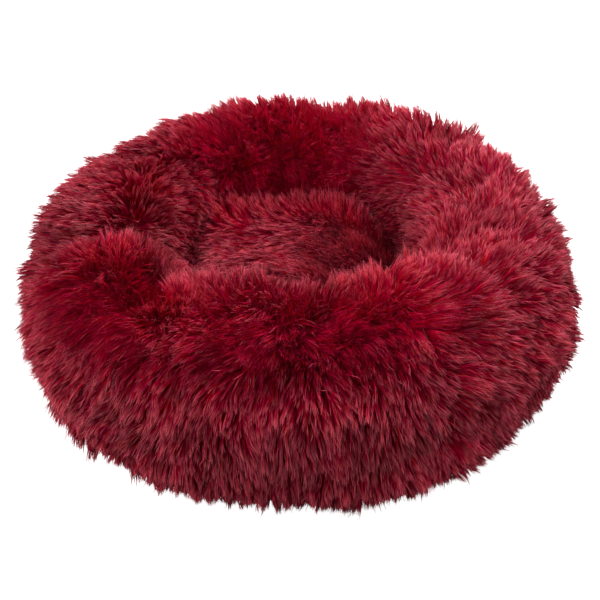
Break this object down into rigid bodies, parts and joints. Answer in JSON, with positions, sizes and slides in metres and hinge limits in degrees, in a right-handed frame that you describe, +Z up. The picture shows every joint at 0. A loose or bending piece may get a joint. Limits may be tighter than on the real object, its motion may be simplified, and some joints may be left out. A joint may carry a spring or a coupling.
{
  "type": "round plush pet bed",
  "caption": "Round pet bed: a fat long-pile fur bolster ring round a raised fur seat, stuffed with loose fibre, on a flat anti-slip base cloth.",
  "frame": {"origin": "centre of the underside, on the surface the bed stands on", "axes": "+Z up through the middle of the well; -Y is the side that faces the viewer, +X to the viewer's right"},
  "size_m": [0.582, 0.582, 0.207],
  "materials": {
    "bolster_fur": "long shaggy pile, wine red, soft sheen at the tips",
    "seat_fur": "long shaggy pile, wine red, matted flatter than the bolster",
    "fibre_filling": "loose white polyester fibre",
    "interfacing": "thin white nonwoven",
    "anti_slip_cloth": "dark plain-weave cloth with small raised grip dots",
    "sewing_thread": "twisted polyester thread, wine red",
    "label_satin": "blank white satin tape"
  },
  "bodies": {
    "root": {"bolster_fur_front": "bolster_fur", "bolster_fur_back": "bolster_fur", "bolster_filling": "fibre_filling", "panel_seam_thread_left": "sewing_thread", "panel_seam_thread_front": "sewing_thread", "seat_fur": "seat_fur", "seat_filling": "fibre_filling", "divider_wall": "interfacing", "seat_seam_thread": "sewing_thread", "base_cloth": "anti_slip_cloth", "base_seam_thread": "sewing_thread", "care_label": "label_satin"}
  },
  "joints": []
}
